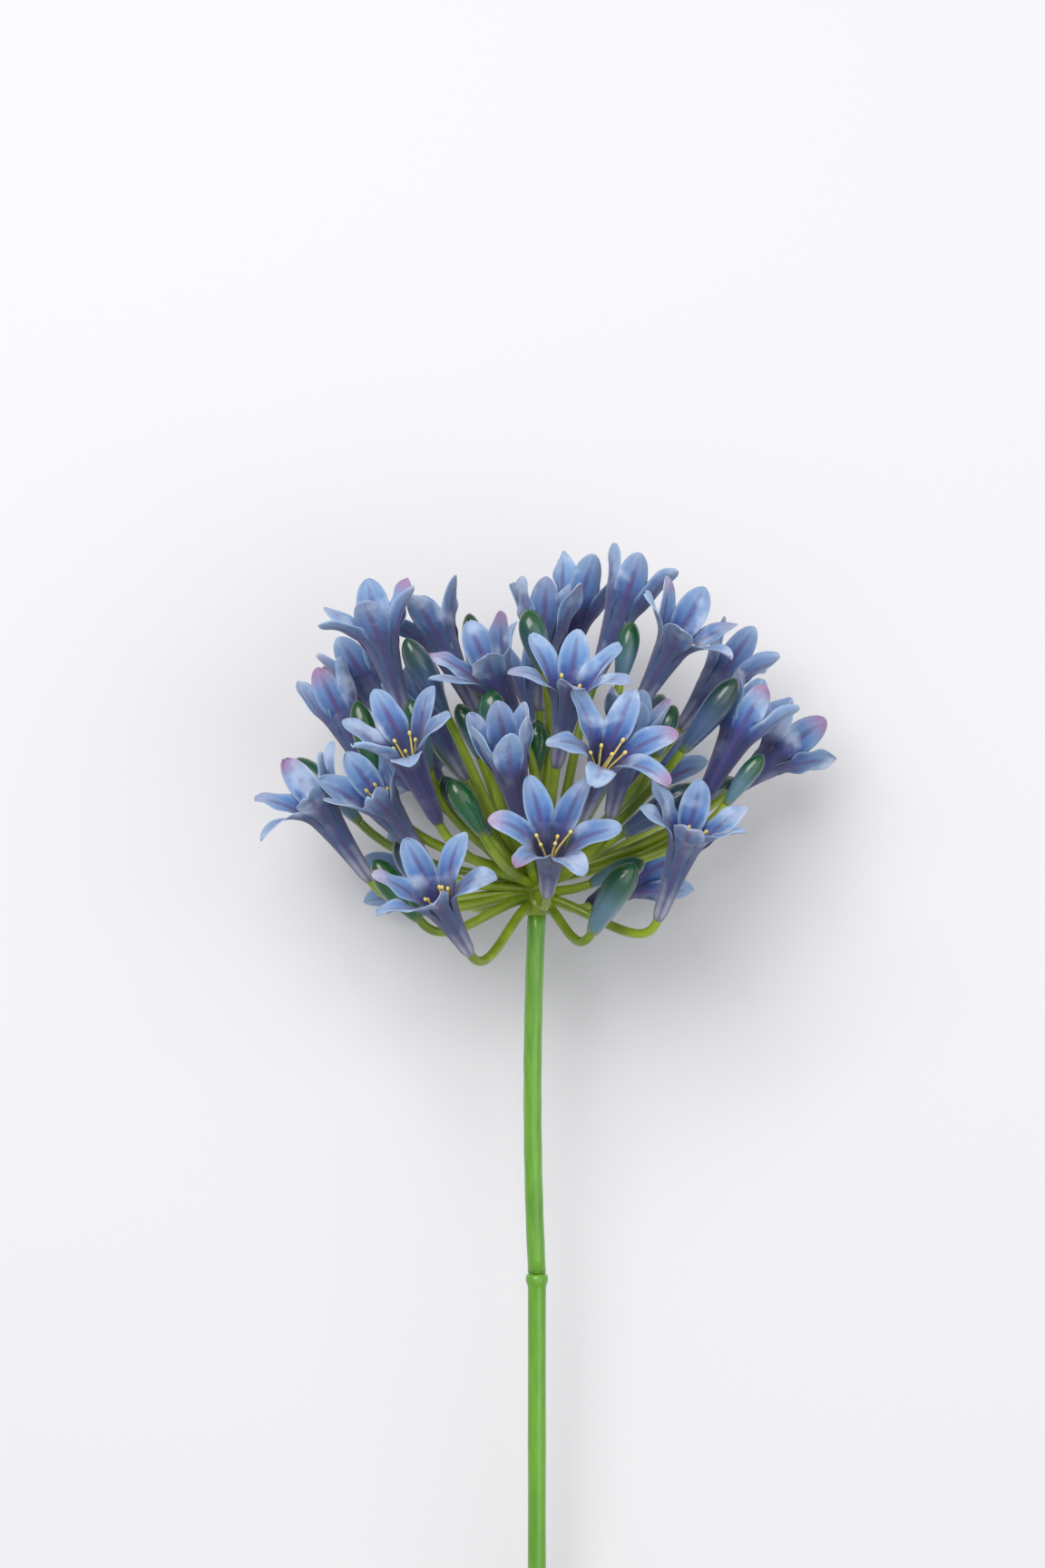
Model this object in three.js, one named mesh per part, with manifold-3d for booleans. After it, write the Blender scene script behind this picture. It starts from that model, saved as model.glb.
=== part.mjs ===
// Agapanthus: one artificial flower head of pressed fabric florets and moulded buds on a two-part
// plastic stem, laid down on a flat surface.
// Millimetres. The head is laid out upright: the hub is at the origin, +Z runs up the stem's line,
// +X is to the right and -Y is the side that ends up on top. The whole group is then laid back until
// the stem's cut end and the lowest petals rest on Z = 0.

import * as THREE from 'three';
import { mergeVertices } from 'three/addons/utils/BufferGeometryUtils.js';
import Module from 'manifold-3d';

// Driving dimensions
const FIT_GAP = 0.3;            // clear space between pieces that meet
const STEM_RADIUS = 2.9;
const STEM_SIDES = 12;
const STEM_JOINT = -121;        // height of the face between the two stem lengths
const STEM_END = -394;          // height of the cut end
const STEM_BOW = 1.4;           // how far the upper length bends to the left
const JOINT_RING = { radius: 3.6, length: 3, taper: 1.2 };
const HUB = { bottom: -7, top: 13, radius: 5.2, waist: 4, sides: 12, collars: 3, step: 0.4 };
const PEDICEL_RADIUS = 1.45;
const PEDICEL_SIDES = 6;
const PEDICEL_STEPS = 7;
const PEDICEL_REACH = 0.36;      // how far each end's straight run pulls the curve, as a share of its span
const PEDICEL_FLATTEN = 0.6;     // pedicels leave the hub this much flatter than they end
const ROOT_CLIMB = 0.14;         // how far up the hub a pedicel starts, as a share of its end's height
const PETALS = 6;
const PETAL_LENGTH = 23;
const PETAL_HALF_WIDTH = 4.5;
const PETAL_WALL = 0.7;
const PETAL_BELLY = { rib: 0.45, shoulder: 0.38, width: 0.6, notch: 0.1 };   // shares of a petal
const PETAL_TIP = { rib: 1, shoulder: 0.64, width: 1, notch: 0.22 };
const SECTOR_FILL = 0.92;        // how much of its share of the mouth's round a petal may fill
const PETAL_NARROWEST = 1.2;
const TUBE = { foot: 1.7, mouth: 4.8, lobe: 0.35, flare: THREE.MathUtils.degToRad(12), dimple: 0.6 };
const BUD_SIDES = 8;
const BUD_PROFILE = [[0, 0], [0.45, 0.1], [0.92, 0.38], [0.95, 0.62], [0.55, 0.86], [0, 1]];

// The florets. foot is the base of the tube and mouth the centre of its rim. spread is how far each
// petal has turned away from the tube's line at its tip, in degrees, in order round the mouth from
// the petal at the -Y side; roll turns that order round the tube's line.
const FLORETS = [
  { foot: [-53, -6, 4], mouth: [-66, -12, 23], spread: [80, 30, 52, 30, 65, 115] },
  { foot: [-41, -8, 52], mouth: [-48, -15, 76], spread: [30, 50, 45, 30, 64, 75] },
  { foot: [-40, 12, 45], mouth: [-51, 19, 62], spread: [20, 35, 30, 20, 20, 20] },
  { foot: [-52, 4, 34], mouth: [-60, 6, 51], spread: [12, 10, 12, 10, 12, 10] },
  { foot: [-31, -28, 23], mouth: [-39, -40, 41], spread: [95, 80, 60, 40, 45, 50] },
  { foot: [-35, -10, 10], mouth: [-46, -20, 25], spread: [60, 45, 40, 40, 34, 44] },
  { foot: [-21, -32, -18], mouth: [-29, -43, -4], spread: [70, 120, 85, 45, 40, 70] },
  { foot: [3, -34, 0], mouth: [4, -48, 13], spread: [95, 85, 75, 75, 80, 90], roll: 30 },
  { foot: [14, -31, 24], mouth: [20, -45, 40], spread: [110, 110, 80, 45, 75, 110] },
  { foot: [23, -15, 24], mouth: [27, -19, 41], spread: [15, 18, 15, 12, 15, 12] },
  { foot: [6, -24, 40], mouth: [9, -32, 59], spread: [85, 80, 55, 35, 55, 100] },
  { foot: [-4, -16, 48], mouth: [-12, -22, 64], spread: [60, 45, 35, 30, 55, 70] },
  { foot: [-19, -1, 57], mouth: [-29, 1, 77], spread: [58, 50, 36, 30, 50, 68] },
  { foot: [-5, -28, 22], mouth: [-8, -38, 37], spread: [15, 10, 15, 12, 20, 12] },
  { foot: [-22, 3, 36], mouth: [-31, 5, 52], spread: [10, 12, 15, 15, 30, 15] },
  { foot: [1, 4, 58], mouth: [2, 4, 78], spread: [15, 30, 15, 12, 35, 15] },
  { foot: [6, 17, 64], mouth: [12, 21, 86], spread: [12, 40, 20, 12, 15, 12] },
  { foot: [18, 4, 66], mouth: [26, 6, 87], spread: [20, 30, 20, 15, 20, 20] },
  { foot: [31, -5, 57], mouth: [41, -13, 75], spread: [70, 90, 60, 35, 25, 60] },
  { foot: [46, 14, 52], mouth: [56, 20, 65], spread: [30, 35, 30, 30, 30, 30] },
  { foot: [52, 0, 28], mouth: [62, -2, 47], spread: [20, 35, 30, 15, 15, 12] },
  { foot: [38, -18, -8], mouth: [45, -27, 13], spread: [70, 70, 60, 40, 75, 85] },
  { foot: [62, 8, 32], mouth: [74, 18, 41], spread: [35, 35, 35, 35, 35, 35] },
  { foot: [-22, 26, 20], mouth: [-34, 40, 34], spread: [40, 45, 60, 70, 60, 45] },
  { foot: [22, 26, 20], mouth: [34, 40, 34], spread: [40, 45, 60, 70, 60, 45] },
  { foot: [0, 30, 42], mouth: [0, 42, 60], spread: [40, 45, 50, 60, 50, 45] },
  { foot: [-22, 22, -5], mouth: [-34, 33, 0], spread: [35, 40, 45, 50, 45, 40] },
  { foot: [17, 22, -5], mouth: [28, 33, 1], spread: [35, 40, 45, 50, 45, 40] },
];

// The buds. foot is where the bud sits on its pedicel, tip is its point and radius is at its belly.
const BUDS = [
  { foot: [-50, -14, 35], tip: [-57, -17, 61], radius: 4.2 },
  { foot: [-37, -20, -8], tip: [-51, -26, 11], radius: 4.6 },
  { foot: [-35, -4, 0], tip: [-45, 0, 17], radius: 3.6 },
  { foot: [-57, 14, 22], tip: [-78, 20, 43], radius: 4 },
  { foot: [-29, -18, 57], tip: [-41, -28, 80], radius: 4.6 },
  { foot: [-18, 16, 62], tip: [-22, 18, 90], radius: 4 },
  { foot: [-18, -6, 43], tip: [-25, -10, 60], radius: 3.6 },
  { foot: [-14, -28, 44], tip: [-14, -34, 64], radius: 4.9 },
  { foot: [-23, 18, 36], tip: [-34, 22, 52], radius: 3.8 },
  { foot: [-34, -19, 39], tip: [-40, -26, 61], radius: 4 },
  { foot: [-17, -36, 19], tip: [-27, -42, 36], radius: 4.4 },
  { foot: [-15, -16, 18], tip: [-30, -18, 37], radius: 4 },
  { foot: [-1, -9, 38], tip: [0, -11, 55], radius: 3.8 },
  { foot: [2, -10, 70], tip: [-3, -12, 90], radius: 4.8 },
  { foot: [26, -12, 66], tip: [30, -14, 86], radius: 3.9 },
  { foot: [46, -8, 45], tip: [63, -15, 68], radius: 4.6 },
  { foot: [38, 2, 43], tip: [44, 4, 60], radius: 3.8 },
  { foot: [60, -4, 28], tip: [72, -6, 44], radius: 3.3 },
  { foot: [17, -26, -12], tip: [30, -34, 10], radius: 5.1 },
  { foot: [17, -8, 3], tip: [34, -12, 10], radius: 4 },
  { foot: [27, -12, 19], tip: [51, -15, 34], radius: 4.9 },
  { foot: [0, 34, 14], tip: [0, 54, 20], radius: 4.4 },
  { foot: [-30, 30, 46], tip: [-42, 38, 64], radius: 4.2 },
  { foot: [30, 30, 46], tip: [42, 38, 64], radius: 4.2 },
  { foot: [48, 28, 26], tip: [66, 36, 36], radius: 4 },
];

const wasm = await Module();
wasm.setup();

function material(color, roughness) {
  return new THREE.MeshStandardMaterial({ color, roughness, metalness: 0, flatShading: true });
}

const STEM_GREEN = material(0x689b2d, 0.25);
const HUB_GREEN = material(0x748f1c, 0.35);
const BUD_SLATE = material(0x5a7f8a, 0.3);
const PETAL_BLUE = material(0x6e95cc, 0.8);

const asVector = (point) => new THREE.Vector3(...point);

// A closed geometry from rings of points: each ring has the same count, and one point closes an end.
// From the ring numbered back on, the faces run back over the earlier ones, and each quad is cut
// along the same diagonal as the one it faces, or two thin warped walls would pass through each other.
function loft(rings, back) {
  const positions = rings.flat().flatMap((p) => p.toArray());
  const starts = rings.reduce((list, ring) => [...list, list.at(-1) + ring.length], [0]);
  const indices = [];
  for (let i = 0; i + 1 < rings.length; i++) {
    const count = Math.max(rings[i].length, rings[i + 1].length);
    const lower = (k) => starts[i] + (k % rings[i].length);
    const upper = (k) => starts[i + 1] + (k % rings[i + 1].length);
    for (let k = 0; k < count; k++) {
      const [first, last] = i < back ? [upper(k), lower(k + 1)] : [upper(k + 1), lower(k)];
      if (rings[i].length > 1) indices.push(lower(k), lower(k + 1), first);
      if (rings[i + 1].length > 1) indices.push(last, upper(k + 1), upper(k));
    }
  }
  const geometry = new THREE.BufferGeometry();
  geometry.setAttribute('position', new THREE.Float32BufferAttribute(positions, 3));
  geometry.setIndex(indices);
  geometry.computeVertexNormals();
  return geometry;
}

function toSolid(geometry) {
  const bare = geometry.clone();
  bare.deleteAttribute('normal');
  bare.deleteAttribute('uv');
  const merged = mergeVertices(bare);
  return new wasm.Manifold(new wasm.Mesh({
    numProp: 3,
    vertProperties: new Float32Array(merged.attributes.position.array),
    triVerts: new Uint32Array(merged.index.array),
  }));
}

function toGeometry(solid) {
  const mesh = solid.getMesh();
  const geometry = new THREE.BufferGeometry();
  geometry.setAttribute('position', new THREE.BufferAttribute(mesh.vertProperties, 3));
  geometry.setIndex(new THREE.BufferAttribute(mesh.triVerts, 1));
  geometry.computeVertexNormals();
  return geometry;
}

// Turns a piece made along +Z from the origin so that it starts at foot and points at aim, with its
// +X side towards -Y.
function placeAlong(mesh, foot, aim) {
  const along = asVector(aim).sub(asVector(foot)).normalize();
  const side = new THREE.Vector3(0, -1, 0).addScaledVector(along, along.y).normalize();
  const third = along.clone().cross(side);
  mesh.position.copy(asVector(foot));
  mesh.quaternion.setFromRotationMatrix(new THREE.Matrix4().makeBasis(side, third, along));
  return mesh;
}

// The far end of an arc of the given length that starts at angle start from the axis and turns by
// turn, as its distances out from the axis and along it.
function arcEnd(length, start, turn) {
  const half = turn / 2;
  const chord = length * (Math.abs(half) < 1e-6 ? 1 : Math.sin(half) / half);
  return { out: chord * Math.sin(start + half), up: chord * Math.cos(start + half) };
}

// A corolla: a funnel tube that opens into six petals, one thin closed shell with a sharp rim.
// Round the tube there are four columns of points to a petal: its midrib, a shoulder, the notch
// that it shares with the next petal, and that petal's shoulder.
function corolla(tubeLength, spread, roll = 0) {
  const sector = (2 * Math.PI) / PETALS;
  const turnOf = (petal) => THREE.MathUtils.degToRad(spread[petal % PETALS]) - TUBE.flare;
  const azimuthOf = (petal) => petal * sector + THREE.MathUtils.degToRad(roll);
  const polar = (azimuth, out, across, up) => new THREE.Vector3(
    out * Math.cos(azimuth) - across * Math.sin(azimuth),
    out * Math.sin(azimuth) + across * Math.cos(azimuth),
    up,
  );
  // A point of a petal: u runs from the mouth to the tip, width across it as a share of its half
  // width, and lift moves the point off the outer face to the inner one.
  function onPetal(petal, u, width, lift) {
    const turn = turnOf(petal) * u;
    const arc = arcEnd(PETAL_LENGTH * u, TUBE.flare, turn);
    const out = TUBE.mouth + arc.out - lift * Math.cos(TUBE.flare + turn);
    const up = tubeLength + arc.up + lift * Math.sin(TUBE.flare + turn);
    const room = SECTOR_FILL * Math.tan(sector / 2) * (TUBE.mouth + arc.out);
    const across = width * Math.min(PETAL_HALF_WIDTH, Math.max(room, PETAL_NARROWEST));
    return polar(azimuthOf(petal), out, across, up);
  }
  function onNotch(petal, u, lift) {
    const turn = (turnOf(petal) + turnOf(petal + 1)) / 2 * u;
    const arc = arcEnd(PETAL_LENGTH * u, TUBE.flare, turn);
    const azimuth = azimuthOf(petal + 0.5);
    return polar(azimuth, TUBE.mouth - TUBE.lobe + arc.out - lift, 0, tubeLength + arc.up);
  }
  function tubeRing(radius, lobe, up) {
    return Array.from({ length: 4 * PETALS }, (_, k) => {
      const azimuth = azimuthOf(k / 4);
      const dip = (lobe * (1 - Math.cos(PETALS * (azimuth - azimuthOf(0))))) / 2;
      return polar(azimuth, radius - dip, 0, up);
    });
  }
  function petalRing({ rib, shoulder, width, notch }, lift) {
    return Array.from({ length: PETALS }, (_, petal) => [
      onPetal(petal, rib, 0, lift),
      onPetal(petal, shoulder, width, lift),
      onNotch(petal, notch, lift),
      onPetal(petal + 1, shoulder, -width, lift),
    ]).flat();
  }
  const outside = [
    [new THREE.Vector3(0, 0, 0)],
    tubeRing(TUBE.foot, 0, TUBE.dimple),
    tubeRing(TUBE.mouth, TUBE.lobe, tubeLength),
    petalRing(PETAL_BELLY, 0),
  ];
  const inside = [
    petalRing(PETAL_BELLY, PETAL_WALL),
    tubeRing(TUBE.mouth - PETAL_WALL, TUBE.lobe, tubeLength),
    [new THREE.Vector3(0, 0, tubeLength / 2)],
  ];
  return loft([...outside, petalRing(PETAL_TIP, 0), ...inside], outside.length);
}

function bud(length, radius) {
  const points = BUD_PROFILE.map(([out, up]) => new THREE.Vector2(out * radius, up * length));
  return new THREE.LatheGeometry(points, BUD_SIDES).rotateX(Math.PI / 2);
}

// A pedicel leaves the hub outwards and ends in line with what it carries, just short of it.
function pedicel({ foot, mouth, tip }) {
  const end = asVector(foot);
  const along = asVector(mouth ?? tip).sub(end).normalize();
  end.addScaledVector(along, -FIT_GAP);
  const round = Math.atan2(end.y, end.x);
  const height = THREE.MathUtils.clamp(ROOT_CLIMB * end.z, HUB.bottom + 3, HUB.top - 3);
  const out = HUB.waist / 2;
  const root = new THREE.Vector3(out * Math.cos(round), out * Math.sin(round), height);
  const leave = end.clone().sub(root);
  const reach = leave.length() * PEDICEL_REACH;
  leave.z *= PEDICEL_FLATTEN;
  leave.normalize();
  const curve = new THREE.CubicBezierCurve3(
    root,
    root.clone().addScaledVector(leave, reach),
    end.clone().addScaledVector(along, -reach),
    end,
  );
  const section = new THREE.Shape();
  for (let k = 0; k < PEDICEL_SIDES; k++) {
    const angle = (2 * Math.PI * k) / PEDICEL_SIDES;
    const [x, y] = [PEDICEL_RADIUS * Math.cos(angle), PEDICEL_RADIUS * Math.sin(angle)];
    if (k === 0) section.moveTo(x, y);
    else section.lineTo(x, y);
  }
  return new THREE.ExtrudeGeometry(section, { steps: PEDICEL_STEPS, extrudePath: curve });
}

// The hub: a stack of collars, each a step narrower than the one below, that the pedicels are moulded to.
function hubSpray(carried) {
  const { bottom, top, radius, waist, sides, collars, step } = HUB;
  const tier = (top - bottom) / collars;
  const profile = [new THREE.Vector2(0, bottom), new THREE.Vector2(waist * 0.8, bottom)];
  for (let k = 0; k < collars; k++) {
    profile.push(new THREE.Vector2(radius - k * step, bottom + (k + 0.5) * tier));
    profile.push(new THREE.Vector2(waist - k * step, bottom + (k + 1) * tier));
  }
  profile.push(new THREE.Vector2(0, top + 1));
  const core = new THREE.LatheGeometry(profile, sides).rotateX(Math.PI / 2);
  const solids = [toSolid(core), ...carried.map((piece) => toSolid(pedicel(piece)))];
  return toGeometry(wasm.Manifold.union(solids));
}

function stemUpper() {
  const curve = new THREE.QuadraticBezierCurve3(
    new THREE.Vector3(0, 0, HUB.bottom - FIT_GAP),
    new THREE.Vector3(-2 * STEM_BOW, 0, STEM_JOINT / 2),
    new THREE.Vector3(0, 0, STEM_JOINT),
  );
  const section = new THREE.Shape().absarc(0, 0, STEM_RADIUS, 0, 2 * Math.PI);
  const settings = { steps: 8, curveSegments: STEM_SIDES, extrudePath: curve };
  return new THREE.ExtrudeGeometry(section, settings);
}

function stemLower() {
  const top = STEM_JOINT - FIT_GAP;
  const { radius, length, taper } = JOINT_RING;
  const profile = [
    [0, STEM_END], [STEM_RADIUS, STEM_END], [STEM_RADIUS, top - length - taper],
    [radius, top - length], [radius, top - taper], [STEM_RADIUS, top], [0, top],
  ];
  const points = profile.map((point) => new THREE.Vector2(...point));
  return new THREE.LatheGeometry(points, STEM_SIDES).rotateX(Math.PI / 2);
}

function named(name, geometry, finish) {
  const mesh = new THREE.Mesh(geometry, finish);
  mesh.name = name;
  return mesh;
}

const number = (index) => String(index + 1).padStart(2, '0');
const upright = new THREE.Group();
upright.add(named('stem_upper', stemUpper(), STEM_GREEN));
upright.add(named('stem_lower', stemLower(), STEM_GREEN));
upright.add(named('hub_and_pedicels', hubSpray([...FLORETS, ...BUDS]), HUB_GREEN));
FLORETS.forEach(({ foot, mouth, spread, roll }, index) => {
  const tubeLength = asVector(foot).distanceTo(asVector(mouth));
  const mesh = named(`floret_${number(index)}`, corolla(tubeLength, spread, roll), PETAL_BLUE);
  upright.add(placeAlong(mesh, foot, mouth));
});
BUDS.forEach(({ foot, tip, radius }, index) => {
  const length = asVector(foot).distanceTo(asVector(tip));
  const mesh = named(`bud_${number(index)}`, bud(length, radius), BUD_SLATE);
  upright.add(placeAlong(mesh, foot, tip));
});

// The tilt at which the stem's end and the lowest petal of the head both touch the surface.
function restTilt() {
  upright.updateMatrixWorld(true);
  let tilt = 0;
  upright.traverse((mesh) => {
    if (!mesh.isMesh || mesh.name.startsWith('stem')) return;
    const points = mesh.geometry.attributes.position;
    for (let k = 0; k < points.count; k++) {
      const p = new THREE.Vector3().fromBufferAttribute(points, k).applyMatrix4(mesh.matrixWorld);
      tilt = Math.max(tilt, Math.atan2(p.y - STEM_RADIUS, p.z - STEM_END));
    }
  });
  return tilt;
}

const lying = new THREE.Group();
upright.rotation.x = restTilt() - Math.PI / 2;
lying.add(upright);
const box = new THREE.Box3().setFromObject(lying, true);
upright.position.set(-(box.min.x + box.max.x) / 2, -(box.min.y + box.max.y) / 2, -box.min.z);

const agapanthus = new THREE.Group();
agapanthus.add(lying);

export default agapanthus;
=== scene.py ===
import math
import random

import bmesh
import bpy
import numpy as np
from mathutils import Matrix, Vector


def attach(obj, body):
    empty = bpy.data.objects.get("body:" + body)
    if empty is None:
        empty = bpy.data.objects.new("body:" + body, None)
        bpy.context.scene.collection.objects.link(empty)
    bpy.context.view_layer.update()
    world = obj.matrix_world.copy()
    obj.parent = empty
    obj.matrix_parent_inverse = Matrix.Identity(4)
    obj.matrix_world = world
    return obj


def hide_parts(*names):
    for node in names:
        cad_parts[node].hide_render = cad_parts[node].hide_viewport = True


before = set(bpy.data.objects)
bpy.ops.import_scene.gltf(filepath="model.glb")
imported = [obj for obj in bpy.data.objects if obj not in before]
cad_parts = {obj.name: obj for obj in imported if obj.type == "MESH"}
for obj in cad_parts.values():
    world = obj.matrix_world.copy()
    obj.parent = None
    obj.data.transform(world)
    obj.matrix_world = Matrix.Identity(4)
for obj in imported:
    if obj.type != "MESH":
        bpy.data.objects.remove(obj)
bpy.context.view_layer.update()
MM = 0.001

# The stem's line. The lower length is a straight rod, so the middles of its two ends give the
# direction in which the head grows, and the hub is a known way beyond the joint.
JOINT_BELOW_HUB = 121.3 * MM


def node_points(name):
    """The different corners of a CAD node, as rows of x, y, z."""
    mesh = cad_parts[name].data
    points = np.array([v.co[:] for v in mesh.vertices])
    return np.unique(points.round(6), axis=0)


def rod_end(points, at_high_end):
    """The middle of the corners within 2 mm of one end of a rod that runs along Y."""
    y = points[:, 1]
    near = y > y.max() - 2 * MM if at_high_end else y < y.min() + 2 * MM
    return Vector(points[near].mean(axis=0))


rod = node_points("stem_lower")
stem_foot = rod_end(rod, False)
stem_joint = rod_end(rod, True)
stem_line = (stem_joint - stem_foot).normalized()
hub_centre = stem_joint + stem_line * JOINT_BELOW_HUB
RIGHT = Vector((1, 0, 0))
TOWARDS_VIEW = RIGHT.cross(stem_line)

# The camera looks straight down on the stem's line, from above the middle of the head's lower part.
LENS_MM = 85
SENSOR_MM = 36
VIEW_HEIGHT = 501 * MM
VIEW_CENTRE = (-4.6 * MM, 35.1 * MM)

camera_data = bpy.data.cameras.new("camera")
camera_data.lens = LENS_MM
camera_data.sensor_width = SENSOR_MM
camera = bpy.data.objects.new("camera", camera_data)
bpy.context.scene.collection.objects.link(camera)
view_target = hub_centre + RIGHT * VIEW_CENTRE[0] + stem_line * VIEW_CENTRE[1]
camera_place = view_target + TOWARDS_VIEW * (LENS_MM / SENSOR_MM * VIEW_HEIGHT)
turned = Matrix((RIGHT, stem_line, TOWARDS_VIEW)).transposed().to_4x4()
camera.matrix_world = Matrix.Translation(camera_place) @ turned
bpy.context.scene.camera = camera


# Shader maths. A Value wraps a node's output, and an expression on Values adds its Math nodes.
class Value:
    def __init__(self, paint, socket):
        self.paint = paint
        self.socket = socket

    def math(self, operation, *others):
        inputs = [self, *others]
        return self.paint.node("ShaderNodeMath", {"operation": operation}, inputs)[0]

    def __add__(self, other):
        return self.math("ADD", other)

    def __sub__(self, other):
        return self.math("SUBTRACT", other)

    def __mul__(self, other):
        return self.math("MULTIPLY", other)

    def __truediv__(self, other):
        return self.math("DIVIDE", other)

    def __rsub__(self, other):
        return (self * -1) + other

    __radd__ = __add__
    __rmul__ = __mul__


class Paint:
    """A material with one Principled shader and the nodes that feed it."""

    def __init__(self, name, **constants):
        self.material = bpy.data.materials.new(name)
        self.material.use_nodes = True
        self.tree = self.material.node_tree
        self.shader = self.tree.nodes["Principled BSDF"]
        for socket, value in constants.items():
            self.shader.inputs[socket.replace("_", " ")].default_value = value

    def connect(self, target, value):
        if isinstance(value, Value):
            self.tree.links.new(value.socket, target)
        else:
            target.default_value = value

    def node(self, kind, settings=None, inputs=()):
        """A node of the kind, its settings set first and then its inputs, by order or by name."""
        node = self.tree.nodes.new(kind)
        for setting, value in (settings or {}).items():
            if setting == "stops":
                ramp = node.color_ramp.elements
                while len(ramp) < len(value):
                    ramp.new(0.5)
                for element, (position, color) in zip(ramp, value):
                    element.position = position
                    element.color = (*color, 1)
            else:
                setattr(node, setting, value)
        named = inputs.items() if isinstance(inputs, dict) else enumerate(inputs)
        for key, value in named:
            self.connect(node.inputs[key], value)
        return [Value(self, output) for output in node.outputs]

    def feed(self, **inputs):
        for socket, value in inputs.items():
            self.connect(self.shader.inputs[socket.replace("_", " ")], value)

    def object_place(self):
        return self.node("ShaderNodeTexCoord")[3]

    def uv(self, layer):
        """A UV map of the piece, and its two numbers."""
        place = self.node("ShaderNodeUVMap", {"uv_map": layer})[0]
        split = self.node("ShaderNodeSeparateXYZ", {}, [place])
        return place, split[0], split[1]

    def noise(self, place, scale, detail=2.0):
        inputs = {"Vector": place, "Scale": scale, "Detail": detail}
        return self.node("ShaderNodeTexNoise", {}, inputs)[0]

    def mix(self, factor, first, second):
        """Two colours mixed. A Mix node in colour mode takes them at its inputs 6 and 7."""
        node = self.tree.nodes.new("ShaderNodeMix")
        node.data_type = "RGBA"
        self.connect(node.inputs[0], factor)
        for target, color in ((node.inputs[6], first), (node.inputs[7], second)):
            self.connect(target, color if isinstance(color, Value) else (*color, 1))
        return Value(self, node.outputs[2])

    def step(self, value, low, high):
        """0 below low, 1 above high and smooth between them."""
        settings = {"interpolation_type": "SMOOTHSTEP"}
        return self.node("ShaderNodeMapRange", settings, [value, low, high, 0.0, 1.0])[0]

    def ramp(self, value, stops):
        return self.node("ShaderNodeValToRGB", {"stops": stops}, [value])[0]

    def bump(self, height, strength, distance):
        inputs = {"Strength": strength, "Distance": distance, "Height": height}
        self.feed(Normal=self.node("ShaderNodeBump", {}, inputs)[0])


def srgb(red, green, blue):
    """A colour given as 0 to 255 on the screen, as linear light."""
    def linear(channel):
        c = channel / 255
        return c / 12.92 if c <= 0.04045 else ((c + 0.055) / 1.055) ** 2.4
    return (linear(red), linear(green), linear(blue))


def finish_piece(name, bm, materials):
    """Makes an object of a bmesh, with its materials, and lets it ride with the flower."""
    mesh = bpy.data.meshes.new(name)
    bm.to_mesh(mesh)
    bm.free()
    for paint in materials:
        mesh.materials.append(paint.material)
    mesh.shade_smooth()
    piece = bpy.data.objects.new(name, mesh)
    bpy.context.scene.collection.objects.link(piece)
    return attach(piece, "root")


# Floor and light. A plain pale surface, and soft studio light from all round.
FLOOR_HALF = 4.0
floor_paint = Paint("pale_floor", Roughness=0.9)
floor_paint.shader.inputs["Base Color"].default_value = (*srgb(219, 218, 220), 1)
bm = bmesh.new()
bmesh.ops.create_grid(bm, x_segments=1, y_segments=1, size=FLOOR_HALF)
floor_mesh = bpy.data.meshes.new("floor")
bm.to_mesh(floor_mesh)
bm.free()
floor_mesh.materials.append(floor_paint.material)
floor = bpy.data.objects.new("floor", floor_mesh)
bpy.context.scene.collection.objects.link(floor)

world = bpy.data.worlds.new("studio")
world.use_nodes = True
world.node_tree.nodes["Background"].inputs["Color"].default_value = (0.97, 0.98, 1, 1)
world.node_tree.nodes["Background"].inputs["Strength"].default_value = 0.5
bpy.context.scene.world = world
bpy.context.scene.view_settings.view_transform = "Standard"


def softbox(name, place, size, watts):
    """A square area light that looks at the flower head."""
    light = bpy.data.lights.new(name, "AREA")
    light.size = size
    light.energy = watts
    lamp = bpy.data.objects.new(name, light)
    bpy.context.scene.collection.objects.link(lamp)
    aim = (hub_centre - place).to_track_quat("-Z", "Y")
    lamp.matrix_world = Matrix.Translation(place) @ aim.to_matrix().to_4x4()


softbox("key_light", hub_centre + Vector((-0.35, 0.45, 1.3)), 0.9, 16)
softbox("fill_light", hub_centre + Vector((0.8, -0.2, 1.1)), 1.4, 7)


# Stem: two lengths of moulded green plastic. The upper one has a slight bow and goes up into the
# hub; the lower one has the socket ring that the upper is pushed into, and a plain cut end.
STEM_RADIUS = 2.9 * MM
STEM_BOW = 1.4 * MM
HUB_BOTTOM = -7 * MM
STEM_SIDES = 32
RING_PROFILE = ((0, 2.75), (-0.5, 3.4), (-1.3, 3.6), (-2.6, 3.55), (-3.6, 3.1), (-4.4, 2.95),
                (-6, 2.9))
STEM_GAP = 0.3 * MM
ROD_STEPS = 24

stem_paint = Paint("stem_green", Roughness=0.28, Coat_Weight=0.35, Coat_Roughness=0.12)
place = stem_paint.object_place()
streak = stem_paint.node("ShaderNodeMapping", {}, {"Vector": place, "Scale": (500, 12, 500)})[0]
grain = stem_paint.noise(streak, 1.0, 3.0)
patch = stem_paint.noise(place, 45.0, 3.0)
tone = stem_paint.step(grain * 0.55 + patch * 0.45, 0.34, 0.66)
green = stem_paint.mix(tone, srgb(84, 140, 34), srgb(104, 162, 44))
stem_paint.feed(Base_Color=green, Roughness=0.2 + 0.18 * grain)
stem_paint.bump(grain, 0.12, 0.0003)


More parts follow.
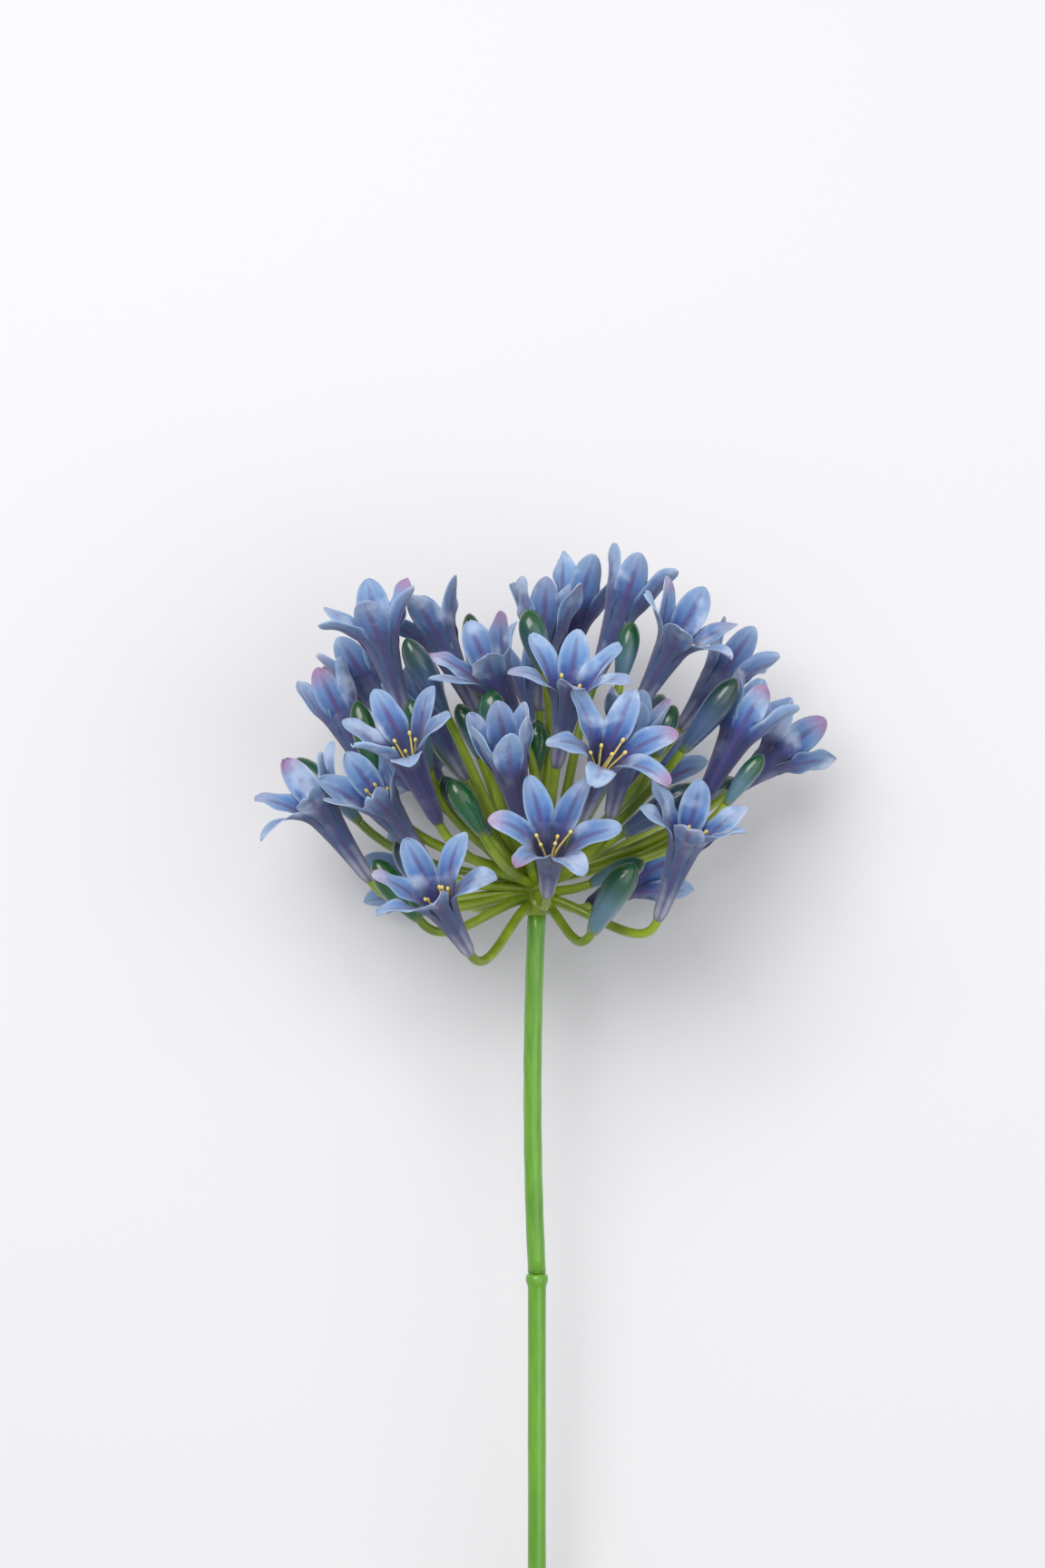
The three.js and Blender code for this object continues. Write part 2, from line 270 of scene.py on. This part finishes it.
def spin_profile(bm, profile, start, line, sides=STEM_SIDES):
    """Turns a profile of (along, radius) pairs round a line."""
    side = line.orthogonal().normalized()
    corners = [bm.verts.new(start + line * along + side * radius) for along, radius in profile]
    edges = [bm.edges.new(pair) for pair in zip(corners, corners[1:])]
    bmesh.ops.spin(
        bm, geom=corners + edges, cent=start, axis=line, angle=2 * math.pi,
        steps=sides, use_merge=True,
    )
    bmesh.ops.remove_doubles(bm, verts=bm.verts, dist=1e-6)
    bmesh.ops.recalc_face_normals(bm, faces=bm.faces)


def bow(bm, low, high):
    """Bends the corners between two places on the stem's line to the left, most in the middle."""
    length = (high - low).length
    for v in bm.verts:
        share = min(max((v.co - low).dot(stem_line) / length, 0), 1)
        v.co -= RIGHT * (4 * STEM_BOW * share * (1 - share))


upper_top = hub_centre + stem_line * (HUB_BOTTOM + 1 * MM)
upper_bottom = stem_joint + stem_line * STEM_GAP
upper_length = (upper_top - upper_bottom).length
bm = bmesh.new()
profile = [(0, 0), (0, STEM_RADIUS)]
for k in range(1, ROD_STEPS + 1):
    unevenness = 1 - 0.02 * math.sin(k * 2.1)
    profile.append((upper_length * k / ROD_STEPS, STEM_RADIUS * unevenness))
profile += [(upper_length, 0)]
spin_profile(bm, profile, upper_bottom, stem_line)
bow(bm, upper_bottom, upper_top)
stem_upper = finish_piece("stem_upper_rod", bm, [stem_paint])
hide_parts("stem_upper")

bm = bmesh.new()
lower_length = (stem_joint - stem_foot).length
profile = [(0, 0), (0, 2.6 * MM), (0.3 * MM, STEM_RADIUS)]
for k in range(1, ROD_STEPS - 1):
    unevenness = 1 + 0.015 * math.sin(k * 1.7)
    profile.append((lower_length * k / ROD_STEPS, STEM_RADIUS * unevenness))
profile += [(lower_length + along * MM, radius * MM) for along, radius in reversed(RING_PROFILE)]
profile += [(lower_length, 0)]
spin_profile(bm, profile, stem_foot, stem_line)
stem_lower = finish_piece("stem_lower_rod", bm, [stem_paint])
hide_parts("stem_lower")


# Where each floret and bud sits. A floret's shell has a dimpled foot with a close ring of corners
# round it, which gives its foot and its line; its throat is half way up the tube, the six widest
# corners of the rim give its turn, and the furthest corner in each sixth is a petal's tip.
RING_CORNERS = 24
TUBE_MOUTH = 4.8 * MM
PETALS = 6
SECTOR = math.tau / PETALS
HALF_SECTOR = math.radians(29)


class Floret:
    def __init__(self, name):
        points = node_points(name)
        gaps = np.linalg.norm(points[:, None] - points[None], axis=2)
        foot = np.sort(gaps, axis=1)[:, RING_CORNERS].argmin()
        ring = points[np.argsort(gaps[foot])[1:RING_CORNERS + 1]]
        line = ring.mean(axis=0) - points[foot]
        self.line = line / np.linalg.norm(line)
        self.foot = points[foot]
        up = (points - self.foot) @ self.line
        aside = points - self.foot - up[:, None] * self.line
        out = np.linalg.norm(aside, axis=1)
        throat = np.where(up > 2 * MM, out, 1).argmin()
        self.tube = 2 * up[throat]
        rim = np.where(abs(up - self.tube) < 0.03 * MM, abs(out - TUBE_MOUTH), 1).argmin()
        self.side = aside[rim] / out[rim]
        self.third = np.cross(self.line, self.side)
        around = np.arctan2(aside @ self.third, aside @ self.side)
        reach = np.where(up > self.tube / 2, np.hypot(out, up - self.tube), 0)
        self.tips = []
        for petal in range(PETALS):
            turn = (around - petal * SECTOR + math.pi) % (2 * math.pi) - math.pi
            tip = np.where(abs(turn) < HALF_SECTOR, reach, 0).argmax()
            self.tips.append((out[tip] - TUBE_MOUTH, up[tip] - self.tube))

    def place(self, out, around, up):
        """A point at a distance from the floret's line, a turn round it and a height along it."""
        across = math.cos(around) * self.side + math.sin(around) * self.third
        return Vector(self.foot + up * self.line + out * across)


class Bud:
    def __init__(self, name):
        points = node_points(name)
        towards_hub = np.linalg.norm(points - np.array(hub_centre), axis=1)
        middle = points.mean(axis=0)
        direction = np.linalg.svd(points - middle)[2][0]
        along = (points - middle) @ direction
        first, last = points[along.argmin()], points[along.argmax()]
        if towards_hub[along.argmin()] > towards_hub[along.argmax()]:
            first, last = last, first
        self.foot = Vector(first)
        self.tip = Vector(last)
        line = (self.tip - self.foot).normalized()
        out = [(Vector(p) - self.foot).cross(line).length for p in points]
        self.radius = max(out)
        self.line = line


node_names = sorted(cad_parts)
florets = {name: Floret(name) for name in node_names if name.startswith("floret")}
buds = {name: Bud(name) for name in node_names if name.startswith("bud")}


# Hub and pedicels: one yellow-green plastic moulding, a stack of three collars with a thin curved
# stalk to each floret and bud. Each stalk leaves the hub outwards and is a little thicker at the
# hub than where it ends.
PEDICEL_RADIUS = 1.45 * MM
HUB_TOP = 13 * MM
HUB_WAIST = 4 * MM
COLLARS = ((-7, 0), (-7, 3), (-6.4, 4.1), (-4.6, 5.2), (-2.4, 5.2), (-0.9, 4.2), (-0.2, 3.9),
           (0.6, 4.4), (1.6, 5.0), (3.4, 4.9), (5.2, 4.1), (6.2, 3.6), (7.2, 4.0), (8.6, 4.4),
           (10.6, 4.1), (12.6, 2.6), (13.6, 0))
COLLAR_SIDES = 40
ROOT_CLIMB = 0.14
PEDICEL_REACH = 0.36
PEDICEL_DROP = 0.4

hub_paint = Paint("hub_yellow_green", Roughness=0.35, Coat_Weight=0.3, Coat_Roughness=0.15)
place = hub_paint.object_place()
patch = hub_paint.noise(place, 60.0, 4.0)
grain = hub_paint.noise(place, 420.0, 2.0)
tone = hub_paint.step(patch, 0.36, 0.64)
olive = hub_paint.mix(tone, srgb(104, 128, 16), srgb(146, 166, 34))
hub_paint.feed(Base_Color=olive, Roughness=0.26 + 0.2 * grain)
hub_paint.bump(grain, 0.2, 0.0003)


def pedicel_spline(curve, end, line):
    """One stalk from the hub to a foot, in line with what it carries."""
    from_hub = end - hub_centre
    x, y, z = from_hub.dot(RIGHT), -from_hub.dot(TOWARDS_VIEW), from_hub.dot(stem_line)
    around = math.atan2(y, x)
    height = min(max(ROOT_CLIMB * z, HUB_BOTTOM + 3 * MM), HUB_TOP - 3 * MM)
    outwards = RIGHT * math.cos(around) - TOWARDS_VIEW * math.sin(around)
    root = hub_centre + outwards * 0.5 * HUB_WAIST + stem_line * height
    leave = end - root
    reach = leave.length * PEDICEL_REACH
    leave -= stem_line * leave.dot(stem_line) * PEDICEL_DROP
    leave.normalize()
    spline = curve.splines.new("BEZIER")
    spline.bezier_points.add(1)
    first, last = spline.bezier_points
    for point in (first, last):
        point.handle_left_type = point.handle_right_type = "FREE"
    first.co, last.co = root, end
    first.handle_left, first.handle_right = root - leave * reach, root + leave * reach
    last.handle_left, last.handle_right = end - line * reach, end + line * reach
    first.radius, last.radius = 1.1, 1.0
    spline.resolution_u = 24
    spline.use_cyclic_u = False


curve = bpy.data.curves.new("pedicels", "CURVE")
curve.dimensions = "3D"
curve.bevel_depth = PEDICEL_RADIUS
curve.bevel_resolution = 4
curve.use_fill_caps = True
for carried in list(florets.values()) + list(buds.values()):
    pedicel_spline(curve, Vector(carried.foot), Vector(carried.line))
curve_object = bpy.data.objects.new("pedicel_curves", curve)
bpy.context.scene.collection.objects.link(curve_object)
bpy.context.view_layer.update()
bm = bmesh.new()
bm.from_mesh(curve_object.to_mesh())
bpy.data.objects.remove(curve_object)
pedicels = finish_piece("pedicels", bm, [hub_paint])
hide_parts("hub_and_pedicels")

bm = bmesh.new()
collar_profile = [(along * MM, radius * MM) for along, radius in COLLARS]
spin_profile(bm, collar_profile, hub_centre, stem_line, COLLAR_SIDES)
finish_piece("hub_collars", bm, [hub_paint])


# Florets: each is a star of printed polyester cloth, heat-pressed into a funnel with six petals.
# The print is pale at the edges and deep blue towards the throat, with a violet stripe down each
# petal's middle, and the outside of the tube is slate blue.
PETAL_LENGTH = 23 * MM
PETAL_HALF_WIDTH = 5.3 * MM
WIDEST_AT = 0.52
CLOTH = 0.22 * MM
TUBE_FOOT = 2.2 * MM
FLARE = math.radians(12)
COLUMNS = 12
TUBE_ROWS = 8
PETAL_ROWS = 22
ARC_STEPS = 12
PLEAT = 0.22 * MM
THREADS_ACROSS = 15
THREADS_ALONG = 62


def cloth_paint(name, edge, middle, throat, stripe, tube, pale_foot):
    """Woven cloth with a printed petal: colours by the way along it and across it."""
    paint = Paint(name, Roughness=0.85, Sheen_Weight=0.25, Sheen_Roughness=0.5)
    place, across, along = paint.uv("petal")
    pink, dark = paint.uv("tone")[1:]
    side = (across * 2 - 1).math("ABSOLUTE")
    wander = paint.noise(paint.object_place(), 260.0, 3.0)
    flow = along + (wander - 0.5) * 0.12 - side * 0.05
    print_color = paint.ramp(flow, [(0.0, pale_foot), (0.14, tube), (0.36, tube), (0.48, throat),
                                    (0.66, middle), (0.98, edge)])
    rim = paint.step(side + (wander - 0.5) * 0.3, 0.62, 1.0)
    on_petal = paint.step(along, 0.42, 0.6)
    print_color = paint.mix(rim * on_petal * 0.75, print_color, edge)
    stretched = paint.node("ShaderNodeMapping", {}, {"Vector": place, "Scale": (26, 2.5, 1)})[0]
    veins = paint.step(paint.noise(stretched, 1.0, 2.0), 0.42, 0.7)
    print_color = paint.mix(veins * 0.4 * on_petal, print_color, middle)
    half_width = 0.42 - 0.3 * along
    line = 1 - paint.step(side / half_width, 0.2, 1.6)
    stripe_end = 1 - paint.step(along + (wander - 0.5) * 0.2, 0.8, 0.97)
    print_color = paint.mix(line * stripe_end * (0.4 + veins * 0.5), print_color, stripe)
    tip_pink = paint.step(along, 0.75, 1.0) * pink
    print_color = paint.mix(tip_pink, print_color, srgb(188, 120, 166))
    print_color = paint.mix(dark, print_color, srgb(38, 46, 92))
    warp = (across * (math.tau * THREADS_ACROSS)).math("SINE")
    weft = (along * (math.tau * THREADS_ALONG)).math("SINE")
    weave = warp * weft
    shade = 0.5 + weave * 0.5
    print_color = paint.mix((1 - shade) * 0.3, print_color, (0.02, 0.04, 0.12))
    # Painted highlight: noise patches that pale the print towards whitish blue, weak on the tube
    # and stronger on the petals.
    painted_highlight = paint.step(paint.noise(paint.object_place(), 90.0, 3.0), 0.5, 0.72)
    print_color = paint.mix(painted_highlight * (0.12 + on_petal * 0.5), print_color, srgb(206, 220, 242))
    paint.feed(Base_Color=print_color)
    paint.bump(weave, 0.5, 0.00015)
    return paint


inside_paint = cloth_paint(
    "petal_cloth_inside", srgb(176, 204, 236), srgb(104, 148, 208), srgb(42, 72, 150),
    srgb(88, 62, 128), srgb(40, 44, 100), srgb(40, 44, 100))
outside_paint = cloth_paint(
    "petal_cloth_outside", srgb(166, 194, 228), srgb(94, 130, 190), srgb(58, 78, 136),
    srgb(92, 52, 110), srgb(66, 86, 130), srgb(176, 178, 198))


def ease(x):
    x = min(max(x, 0), 1)
    return x * x * (3 - 2 * x)


def petal_half_width(t, widest):
    """A petal's half width at t from the mouth, 0, to the tip, 1."""
    start = TUBE_MOUTH * math.sin(math.pi / 6)
    if t < WIDEST_AT:
        return start + (widest - start) * ease(t / WIDEST_AT)
    return widest * max(1 - ((t - WIDEST_AT) / (1 - WIDEST_AT)) ** 2.2, 0) ** 0.6


class PetalShape:
    """How one petal bends, curls and creases. The bend is the CAD petal's own arc."""

    def __init__(self, tip, draw, inner):
        out, up = tip
        self.turn = 2 * (math.atan2(out, up) - FLARE)
        self.length = PETAL_LENGTH * draw.uniform(0.97, 1.03)
        self.widest = PETAL_HALF_WIDTH * draw.uniform(0.86, 1.04)
        self.twist = math.radians(draw.gauss(0, 12))
        self.sway = draw.gauss(0, 1.1) * MM
        self.keel = draw.uniform(0.2, 0.9) * MM
        self.ripple = draw.uniform(0.2, 0.8) * MM
        self.ripple_count = draw.uniform(1.2, 2.6)
        self.ripple_start = draw.uniform(0, math.tau)
        self.tip_curl = math.radians(draw.gauss(8, 22))
        self.layer = (0.35 if inner else -0.35) * MM
        self.edge_roll = draw.gauss(0.2, 0.5) * MM

    def middle(self, t):
        """The midrib's distance out and up from the mouth, and its angle from the line."""
        out = up = 0.0
        for k in range(ARC_STEPS):
            share = t * (k + 0.5) / ARC_STEPS
            angle = FLARE + self.turn * share + self.tip_curl * max(share - 0.7, 0) ** 1.5 * 2
            out += self.length * t / ARC_STEPS * math.sin(angle)
            up += self.length * t / ARC_STEPS * math.cos(angle)
        return out, up, FLARE + self.turn * t


def petal_point(floret, around, shape, across, t):
    """Where a corner goes: across runs from -1 to 1, t below 0 is in the tube."""
    if t <= 0:
        share = 1 + t
        radius = TUBE_FOOT + (TUBE_MOUTH - TUBE_FOOT) * (0.35 * share + 0.65 * share ** 2)
        radius -= 0.6 * MM * (1 - ease(share / 0.08))
        pleat = PLEAT * (1 - across * across) * ease(share * 2)
        return floret.place(radius + pleat, around + across * math.pi / 6, floret.tube * share)
    out, up, angle = shape.middle(t)
    width = petal_half_width(t, shape.widest) * across
    distance = TUBE_MOUTH + out
    bend = math.cos(angle) / max(distance, 2 * MM)
    bend = min(max(bend, -60), 1 / (TUBE_MOUTH * 0.9))
    bend *= 1 - 0.55 * ease(t * 1.5)
    turn = shape.twist * t
    if abs(bend) > 1:
        side, rise = math.sin(bend * width) / bend, (1 - math.cos(bend * width)) / bend
    else:
        side, rise = width, 0.5 * bend * width * width
    growth = ease(t / 0.25)
    rise += shape.layer * growth * (1 - 0.4 * t)
    rise += shape.keel * growth * (abs(across) - 0.35) * (1 - 0.5 * t)
    phase = shape.ripple_start + (2.1 if across > 0 else 0)
    wave = math.sin(math.tau * shape.ripple_count * t + phase)
    rise += shape.ripple * across * across * wave * growth
    rise += shape.edge_roll * across ** 4 * growth
    side, rise = (
        side * math.cos(turn) - rise * math.sin(turn),
        side * math.sin(turn) + rise * math.cos(turn),
    )
    side += shape.sway * t * t
    rise += PLEAT * (1 - across * across) * -(1 - growth)
    out_total = distance - rise * math.cos(angle)
    up_total = floret.tube + up + rise * math.sin(angle)
    middle = floret.place(out_total, around, up_total)
    tangent = Vector(-math.sin(around) * floret.side + math.cos(around) * floret.third)
    return middle + tangent * side


def add_petal(bm, floret, petal, shape, pink, dark):
    """One petal with its sixth of the tube, as a bent grid."""
    rows = TUBE_ROWS + PETAL_ROWS
    made = bmesh.ops.create_grid(bm, x_segments=COLUMNS, y_segments=rows, size=1)
    petal_map = bm.loops.layers.uv["petal"]
    tone_map = bm.loops.layers.uv["tone"]
    around = petal * SECTOR
    flat = {v: ((v.co.x + 1) / 2, (v.co.y + 1) / 2) for v in made["verts"]}
    for face in {face for v in made["verts"] for face in v.link_faces}:
        for loop in face.loops:
            x, y = flat[loop.vert]
            loop[petal_map].uv = (x, y)
            loop[tone_map].uv = (pink, dark)
    for v, (x, y) in flat.items():
        row = y * rows
        if row <= TUBE_ROWS + 1e-6:
            t = row / TUBE_ROWS - 1
        else:
            t = (row - TUBE_ROWS) / PETAL_ROWS
        v.co = petal_point(floret, around, shape, 2 * x - 1, min(t, 0.995))


random_petals = random.Random(7)
for name, floret in florets.items():
    bm = bmesh.new()
    bm.loops.layers.uv.new("petal")
    bm.loops.layers.uv.new("tone")
    darkness = max(random_petals.gauss(0.08, 0.12), 0)
    for petal, tip in enumerate(floret.tips):
        shape = PetalShape(tip, random_petals, petal % 2 == 0)
        pink = random_petals.choice((0, 0, 0, 0, 0.15, 0.3, 0.75))
        dark = min(max(darkness + random_petals.gauss(0, 0.08), 0), 0.6)
        add_petal(bm, floret, petal, shape, pink, dark)
    bmesh.ops.remove_doubles(bm, verts=bm.verts, dist=0.02 * MM)
    bmesh.ops.recalc_face_normals(bm, faces=bm.faces)
    piece_name = name.replace("floret", "corolla")
    corolla = finish_piece(piece_name, bm, [outside_paint, inside_paint])
    cloth = corolla.modifiers.new("cloth", "SOLIDIFY")
    cloth.thickness = CLOTH
    cloth.offset = -1
    cloth.material_offset = 1
    cloth.material_offset_rim = 1
    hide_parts(name)


# Stamens: five or six pale yellow plastic threads glued in the throat of each open floret, with a
# small swollen tip, curving up to one side.
STAMEN_RADIUS = 0.42 * MM
OPEN_TURN = math.radians(20)
STAMEN_ROOT = 0.45
ANTHER_RADIUS = 0.62 * MM
ANTHER_STRETCH = 1.5

stamen_paint = Paint("stamen_cream", Roughness=0.45)
grain = stamen_paint.noise(stamen_paint.object_place(), 700.0, 2.0)
cream = stamen_paint.mix(grain, srgb(222, 194, 92), srgb(238, 218, 134))
stamen_paint.feed(Base_Color=cream)


def add_stamen(curve, floret, around, lean, length, draw):
    start = floret.place(0.6 * MM, around, floret.tube * STAMEN_ROOT)
    middle = floret.place(1.6 * MM, around, floret.tube * STAMEN_ROOT + length * 0.55)
    bend = around + draw.gauss(0, 0.4)
    end = floret.place(2.2 * MM + lean, bend, floret.tube * STAMEN_ROOT + length)
    spline = curve.splines.new("BEZIER")
    spline.bezier_points.add(2)
    for point, where, radius in zip(spline.bezier_points, (start, middle, end), (1, 0.9, 0.7)):
        point.co = where
        point.handle_left_type = point.handle_right_type = "AUTO"
        point.radius = radius
    spline.resolution_u = 8
    return end, (end - middle).normalized()


random_stamens = random.Random(11)
for name, floret in florets.items():
    turns = [2 * (math.atan2(out, up) - FLARE) for out, up in floret.tips]
    if sum(turns) / len(turns) < OPEN_TURN:
        continue
    curve = bpy.data.curves.new("stamens", "CURVE")
    curve.dimensions = "3D"
    curve.bevel_depth = STAMEN_RADIUS
    curve.bevel_resolution = 2
    curve.use_fill_caps = True
    anthers = []
    count = random_stamens.choice((5, 6))
    for k in range(count):
        around = math.tau * k / count + random_stamens.gauss(0, 0.25)
        lean = random_stamens.uniform(0.5, 3.5) * MM
        length = floret.tube * 0.55 + random_stamens.uniform(5, 9.5) * MM
        anthers.append(add_stamen(curve, floret, around, lean, length, random_stamens))
    curve_object = bpy.data.objects.new("stamen_curves", curve)
    bpy.context.scene.collection.objects.link(curve_object)
    bpy.context.view_layer.update()
    bm = bmesh.new()
    bm.from_mesh(curve_object.to_mesh())
    bpy.data.objects.remove(curve_object)
    for end, line in anthers:
        turned = line.to_track_quat("Z", "Y").to_matrix().to_4x4()
        stretch = Matrix.Diagonal((1, 1, ANTHER_STRETCH, 1))
        shape = Matrix.Translation(end + line * 0.4 * MM) @ turned @ stretch
        bmesh.ops.create_icosphere(bm, subdivisions=2, radius=ANTHER_RADIUS, matrix=shape)
    finish_piece(name.replace("floret", "stamens"), bm, [stamen_paint])


# Buds: glossy moulded plastic, teal to slate blue with a green point, each with the two fine ridges
# that its mould left.
BUD_PROFILE = ((0, 0), (0.0, 0.36), (0.03, 0.46), (0.1, 0.56), (0.2, 0.68), (0.32, 0.82),
               (0.46, 0.95), (0.6, 1.02), (0.72, 1.0), (0.82, 0.88), (0.9, 0.68), (0.955, 0.44),
               (0.985, 0.22), (1, 0))
BUD_SIDES = 28
SEAM = 0.045
SEAM_WIDTH = 0.16
FLUTE = 0.025

bud_paints = []
for kind, (body, belly, point) in {
    "teal": (srgb(84, 118, 134), srgb(44, 88, 76), srgb(16, 72, 34)),
    "slate": (srgb(66, 88, 122), srgb(44, 70, 88), srgb(24, 58, 46)),
    "green": (srgb(40, 92, 60), srgb(22, 80, 36), srgb(14, 66, 26)),
}.items():
    paint = Paint(f"bud_{kind}", Roughness=0.25, Coat_Weight=0.5, Coat_Roughness=0.1)
    along = paint.uv("bud")[2]
    cloud = paint.noise(paint.object_place(), 110.0, 3.0)
    shift = along + (cloud - 0.5) * 0.3
    color = paint.ramp(shift, [(0.0, srgb(110, 130, 50)), (0.1, body), (0.42, body),
                               (0.66, belly), (0.9, point)])
    paint.feed(Base_Color=color, Roughness=0.2 + 0.2 * cloud)
    paint.bump(paint.noise(paint.object_place(), 500.0, 2.0), 0.12, 0.0003)
    bud_paints.append(paint)


random_buds = random.Random(5)
for name, bud in buds.items():
    length = (bud.tip - bud.foot).length
    bm = bmesh.new()
    profile = [(along * length, radius * bud.radius) for along, radius in BUD_PROFILE]
    spin_profile(bm, profile, bud.foot, bud.line, BUD_SIDES)
    side = bud.line.orthogonal().normalized()
    third = bud.line.cross(side)
    seam_turn = random_buds.uniform(0, math.pi)
    lean = random_buds.gauss(0, 0.5) * MM
    bud_map = bm.loops.layers.uv.new("bud")
    places = {}
    for v in bm.verts:
        from_foot = v.co - bud.foot
        along = from_foot.dot(bud.line)
        aside = from_foot - bud.line * along
        around = math.atan2(aside.dot(third), aside.dot(side))
        places[v] = (around / math.tau + 0.5, along / length)
        ridge = SEAM * math.exp(-((math.sin(around - seam_turn) / SEAM_WIDTH) ** 2))
        flute = FLUTE * math.cos(3 * (around - seam_turn))
        v.co += aside * (ridge - SEAM + flute)
        v.co += side * lean * math.sin(math.pi * along / length)
    for face in bm.faces:
        for loop in face.loops:
            loop[bud_map].uv = places[loop.vert]
    paint = random_buds.choices(bud_paints, weights=(6, 4, 2))[0]
    piece = finish_piece(name.replace("bud", "bud_moulding"), bm, [paint])
    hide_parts(name)


bpy.context.view_layer.update()
